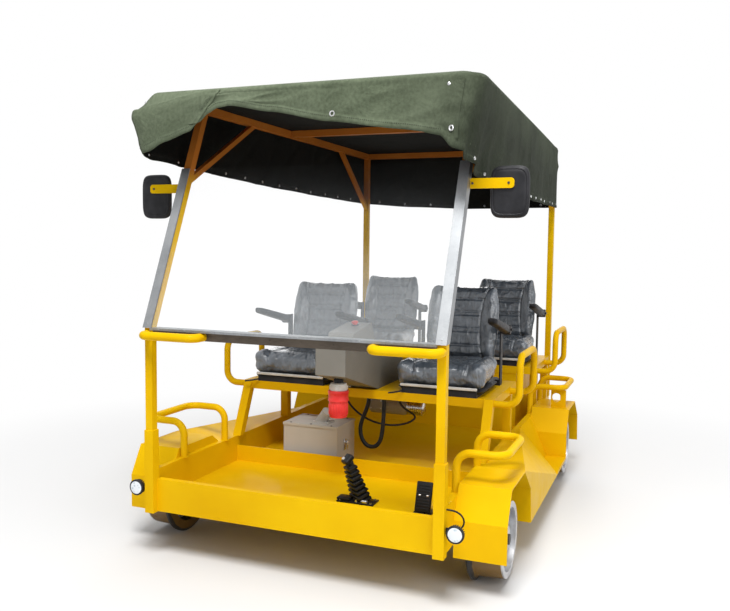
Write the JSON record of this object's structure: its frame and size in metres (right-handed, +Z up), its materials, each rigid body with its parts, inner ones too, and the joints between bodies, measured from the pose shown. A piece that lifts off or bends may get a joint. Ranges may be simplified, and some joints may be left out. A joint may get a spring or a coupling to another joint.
{
  "type": "battery rail inspection trolley",
  "caption": "Open yellow battery trolley on flanged rail wheels, with paired forward-facing seats, a raked windscreen and a canvas canopy on a tube frame.",
  "frame": {"origin": "under the middle of the vehicle, at the level of the flange tips", "axes": "+Z up, +Y towards the rear, +X to the right of the picture (the driver's pedals)"},
  "size_m": [2.078, 3.0559, 2.3343],
  "materials": {
    "yellow_paint": "gloss enamel over welded steel",
    "wheel_steel": "machined rim, painted web",
    "axle_steel": "dull steel",
    "aluminium_trim": "bare extruded strip",
    "dash_steel": "brushed band with rivets",
    "windscreen_glass": "clear",
    "canvas": "olive canvas",
    "seat_vinyl": "dark vinyl under clear film",
    "black_plastic": "moulded",
    "pedal_black": "black enamel",
    "console_grey": "satin grey",
    "box_grey": "satin light grey",
    "signal_red": "moulded red",
    "cap_grey": "moulded light grey",
    "motor_grey": "grey enamel",
    "lamp_lens": "clear lens",
    "cable_black": "rubber sheath"
  },
  "bodies": {
    "chassis": {"underframe_rails": "yellow_paint", "cross_members": "yellow_paint", "floor_pan": "yellow_paint", "front_beam": "yellow_paint", "side_walls": "yellow_paint", "rear_wall": "yellow_paint", "wheel_hoods": "yellow_paint", "side_skirts": "yellow_paint", "side_steps": "yellow_paint", "front_posts": "yellow_paint", "grab_handles": "yellow_paint", "roof_frame": "yellow_paint", "seat_platform_front": "yellow_paint", "seat_platform_rear": "yellow_paint", "battery_box": "yellow_paint", "guard_hoops": "yellow_paint", "lifting_hoops": "yellow_paint", "lug_plates": "yellow_paint", "mirror_arms": "yellow_paint", "axle_boxes": "axle_steel", "windscreen_strips": "aluminium_trim", "windscreen_sill": "aluminium_trim", "dash_band": "dash_steel", "windscreen_glass": "windscreen_glass", "canopy": "canvas", "seat_cushions_front": "seat_vinyl", "seat_cushions_rear": "seat_vinyl", "seat_backs_front": "seat_vinyl", "seat_backs_rear": "seat_vinyl", "seat_frames_front": "black_plastic", "seat_frames_rear": "black_plastic", "mirror_heads": "black_plastic", "headlights": "black_plastic", "brake_pedal": "pedal_black", "accelerator_pedal": "pedal_black", "console": "console_grey", "controller_box": "box_grey", "plug_base": "box_grey", "charge_plug": "signal_red", "emergency_stop": "signal_red", "plug_cap": "cap_grey", "drive_motor": "motor_grey", "headlight_lenses": "lamp_lens", "cable_glands": "cable_black", "power_cable": "cable_black", "signal_cable": "cable_black", "lamp_wire": "cable_black"},
    "front_wheelset": {"axle_front": "axle_steel", "wheels_front": "wheel_steel"},
    "rear_wheelset": {"axle_rear": "axle_steel", "wheels_rear": "wheel_steel"},
    "armrest_front_left_inner": {"armrest_front_left_inner": "black_plastic"},
    "armrest_front_left_outer": {"armrest_front_left_outer": "black_plastic"},
    "armrest_front_right_inner": {"armrest_front_right_inner": "black_plastic"},
    "armrest_front_right_outer": {"armrest_front_right_outer": "black_plastic"},
    "armrest_rear_left_inner": {"armrest_rear_left_inner": "black_plastic"},
    "armrest_rear_left_outer": {"armrest_rear_left_outer": "black_plastic"},
    "armrest_rear_right_inner": {"armrest_rear_right_inner": "black_plastic"},
    "armrest_rear_right_outer": {"armrest_rear_right_outer": "black_plastic"}
  },
  "joints": [
    {"name": "front_wheels_turn", "type": "hinge", "parent": "chassis", "child": "front_wheelset", "pos_m": [0, -1.002, 0.208], "axis": [1, 0, 0], "continuous": true},
    {"name": "rear_wheels_turn", "type": "hinge", "parent": "chassis", "child": "rear_wheelset", "pos_m": [0, 0.913, 0.208], "axis": [1, 0, 0], "continuous": true},
    {"name": "armrest_front_left_inner_lift", "type": "hinge", "parent": "chassis", "child": "armrest_front_left_inner", "pos_m": [-0.1804, -0.004, 1.1], "axis": [-1, 0, 0], "range_deg": [0, 90]},
    {"name": "armrest_front_left_outer_lift", "type": "hinge", "parent": "chassis", "child": "armrest_front_left_outer", "pos_m": [-0.7336, -0.004, 1.1], "axis": [-1, 0, 0], "range_deg": [0, 90]},
    {"name": "armrest_front_right_inner_lift", "type": "hinge", "parent": "chassis", "child": "armrest_front_right_inner", "pos_m": [0.1804, -0.004, 1.1], "axis": [-1, 0, 0], "range_deg": [0, 90]},
    {"name": "armrest_front_right_outer_lift", "type": "hinge", "parent": "chassis", "child": "armrest_front_right_outer", "pos_m": [0.7336, -0.004, 1.1], "axis": [-1, 0, 0], "range_deg": [0, 90]},
    {"name": "armrest_rear_left_inner_lift", "type": "hinge", "parent": "chassis", "child": "armrest_rear_left_inner", "pos_m": [-0.1804, 1.263, 1.1], "axis": [-1, 0, 0], "range_deg": [0, 90]},
    {"name": "armrest_rear_left_outer_lift", "type": "hinge", "parent": "chassis", "child": "armrest_rear_left_outer", "pos_m": [-0.7336, 1.263, 1.1], "axis": [-1, 0, 0], "range_deg": [0, 90]},
    {"name": "armrest_rear_right_inner_lift", "type": "hinge", "parent": "chassis", "child": "armrest_rear_right_inner", "pos_m": [0.1804, 1.263, 1.1], "axis": [-1, 0, 0], "range_deg": [0, 90]},
    {"name": "armrest_rear_right_outer_lift", "type": "hinge", "parent": "chassis", "child": "armrest_rear_right_outer", "pos_m": [0.7336, 1.263, 1.1], "axis": [-1, 0, 0], "range_deg": [0, 90]}
  ]
}
